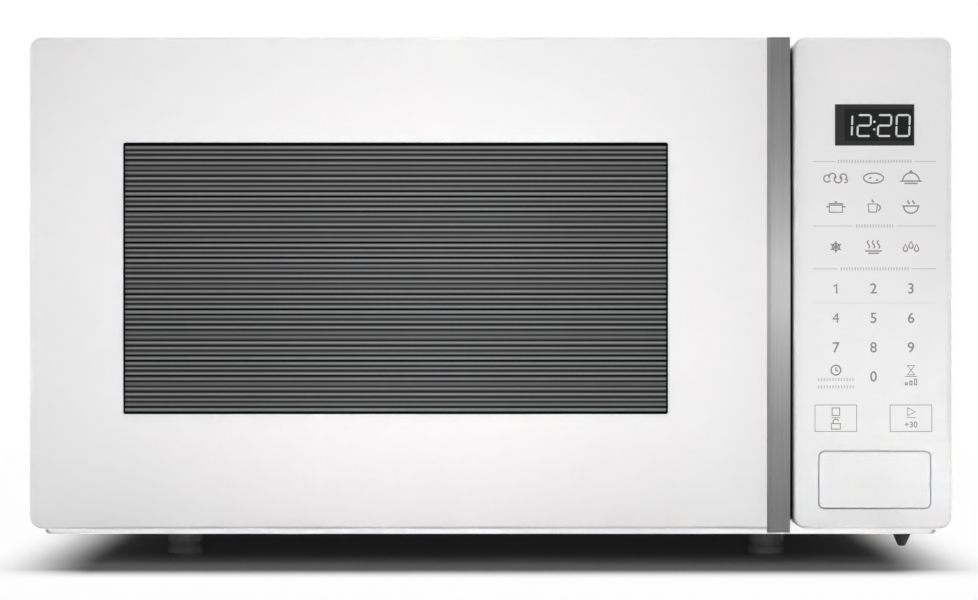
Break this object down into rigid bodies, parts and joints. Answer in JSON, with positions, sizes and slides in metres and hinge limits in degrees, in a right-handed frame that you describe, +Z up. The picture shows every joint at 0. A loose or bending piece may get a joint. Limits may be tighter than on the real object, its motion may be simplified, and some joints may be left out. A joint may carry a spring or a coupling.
{
  "type": "countertop microwave",
  "caption": "Countertop microwave oven with a side-hinged window door, steel trim bar, touch panel, push-button door release, turntable and vented cabinet",
  "frame": {"origin": "on the table, under the middle of the oven's outline", "axes": "+X to the user's right as they face the door, +Y to the back of the oven, +Z up"},
  "size_m": [0.485, 0.396, 0.2765],
  "materials": {
    "cabinet_paint": "satin white powder coat",
    "cavity_enamel": "smooth pale grey enamel",
    "zinc_steel": "zinc-plated sheet steel",
    "fascia_plastic": "white, low gloss moulding",
    "keypad_film": "satin printed film",
    "choke_plastic": "pale grey moulding",
    "window_pane": "smoked pane with fine printed lines",
    "screen_steel": "dark painted perforated steel",
    "clear_film": "clear film",
    "display_lens": "dark tinted lens",
    "display_part": "black segmented display",
    "bar_steel": "vertical brushed stainless steel",
    "carrier_plastic": "grey moulding",
    "foot_rubber": "black rubber",
    "tray_glass": "clear tempered glass",
    "turntable_plastic": "off-white heat-proof moulding",
    "core_steel": "varnished laminations",
    "winding_copper": "enamelled copper wire",
    "bright_aluminium": "mill finish",
    "ferrite": "sintered ferrite",
    "lamp_glass": "clear bulb",
    "spring_steel": "bright spring wire",
    "mica": "pressed mica sheet",
    "black_plastic": "black moulding",
    "board_laminate": "green laminate",
    "latch_plastic": "natural white moulding"
  },
  "bodies": {
    "root": {"base_pan": "zinc_steel", "button_spring": "spring_steel", "cabinet_wrapper": "cabinet_paint", "capacitor": "bright_aluminium", "capacitor_clamp": "zinc_steel", "cavity_lamp": "lamp_glass", "cavity_shell": "cavity_enamel", "control_board": "board_laminate", "control_panel": "fascia_plastic", "cord_gland": "black_plastic", "cover_clip": "turntable_plastic", "diode": "black_plastic", "display_module": "display_part", "display_window": "display_lens", "fan_frame": "zinc_steel", "fan_motor": "core_steel", "feet": "foot_rubber", "front_plate": "cabinet_paint", "hinge_brackets": "zinc_steel", "hinge_pins": "spring_steel", "interlock_switches": "black_plastic", "keypad_membrane": "keypad_film", "lamp_holder": "black_plastic", "latch_board": "latch_plastic", "magnetron_anode": "bright_aluminium", "magnetron_antenna": "winding_copper", "magnetron_filter": "bright_aluminium", "magnetron_magnets": "ferrite", "magnetron_yoke": "zinc_steel", "rear_panel": "zinc_steel", "side_rest": "foot_rubber", "steel_screws": "zinc_steel", "thermal_cutouts": "bright_aluminium", "transformer_core": "core_steel", "transformer_windings": "winding_copper", "turntable_motor": "core_steel", "wall_spacers": "black_plastic", "waveguide": "zinc_steel", "waveguide_cover": "mica"},
    "door": {"door_frame": "fascia_plastic", "door_window": "window_pane", "choke_panel": "screen_steel", "door_film": "clear_film", "choke_cover": "choke_plastic", "door_bar": "bar_steel", "bar_carrier": "carrier_plastic", "hinge_bushes": "black_plastic", "latch_spring": "spring_steel"},
    "latch": {"latch_hook": "latch_plastic"},
    "button": {"release_button": "fascia_plastic"},
    "lever": {"release_lever": "latch_plastic"},
    "plungers": {"switch_plungers": "black_plastic"},
    "turntable_drive": {"drive_coupler": "turntable_plastic", "motor_shaft": "spring_steel"},
    "tray": {"glass_tray": "tray_glass"},
    "ring": {"roller_ring": "turntable_plastic"},
    "wheel_1": {"roller_wheel_1": "turntable_plastic"},
    "wheel_2": {"roller_wheel_2": "turntable_plastic"},
    "wheel_3": {"roller_wheel_3": "turntable_plastic"},
    "fan": {"fan_rotor": "black_plastic"}
  },
  "joints": [
    {"name": "door_hinge", "type": "hinge", "parent": "root", "child": "door", "pos_m": [-0.2335, -0.1692, 0.147], "axis": [0, 0, -1], "range_deg": [0, 110]},
    {"name": "hook_lift", "type": "slide", "parent": "door", "child": "latch", "axis": [0, 0, 1], "range_m": [0, 0.005], "deforming": ["latch_spring"]},
    {"name": "release_press", "type": "slide", "parent": "root", "child": "button", "axis": [0, 1, 0], "range_m": [0, 0.005], "stiffness_N_per_m": 500, "springref_m": -0.002, "deforming": ["button_spring"]},
    {"name": "lever_turn", "type": "hinge", "parent": "root", "child": "lever", "pos_m": [0.161, -0.142, 0.05], "axis": [1, 0, 0], "range_deg": [0, 21]},
    {"name": "plunger_rise", "type": "slide", "parent": "root", "child": "plungers", "axis": [0, 0, 1], "range_m": [0, 0.001]},
    {"name": "turntable_spin", "type": "hinge", "parent": "root", "child": "turntable_drive", "pos_m": [-0.05, 0.0139, 0.042], "axis": [0, 0, 1], "continuous": true},
    {"name": "tray_lift", "type": "slide", "parent": "turntable_drive", "child": "tray", "axis": [0, 0, 1], "range_m": [0, 0.03]},
    {"name": "ring_turn", "type": "hinge", "parent": "root", "child": "ring", "pos_m": [-0.05, 0.0139, 0.0443], "axis": [0, 0, 1], "continuous": true},
    {"name": "fan_spin", "type": "hinge", "parent": "root", "child": "fan", "pos_m": [0.182, 0.145, 0.205], "axis": [0, 1, 0], "continuous": true},
    {"name": "wheel_1_roll", "type": "hinge", "parent": "ring", "child": "wheel_1", "pos_m": [-0.05, 0.1119, 0.0443], "axis": [0, 1, 0], "continuous": true},
    {"name": "wheel_2_roll", "type": "hinge", "parent": "ring", "child": "wheel_2", "pos_m": [-0.13487, -0.0351, 0.0443], "axis": [-0.866, -0.5, 0], "continuous": true},
    {"name": "wheel_3_roll", "type": "hinge", "parent": "ring", "child": "wheel_3", "pos_m": [0.03487, -0.0351, 0.0443], "axis": [0.866, -0.5, 0], "continuous": true}
  ],
  "couplings": [
    {"joint": "hook_lift", "follows": "release_press", "ratio": 1},
    {"joint": "lever_turn", "follows": "release_press", "rad_per_m": 71.429},
    {"joint": "plunger_rise", "follows": "release_press", "ratio": 0.2},
    {"joint": "ring_turn", "follows": "turntable_spin", "ratio": 0.5},
    {"joint": "wheel_1_roll", "follows": "turntable_spin", "ratio": -7},
    {"joint": "wheel_2_roll", "follows": "turntable_spin", "ratio": -7},
    {"joint": "wheel_3_roll", "follows": "turntable_spin", "ratio": -7}
  ]
}
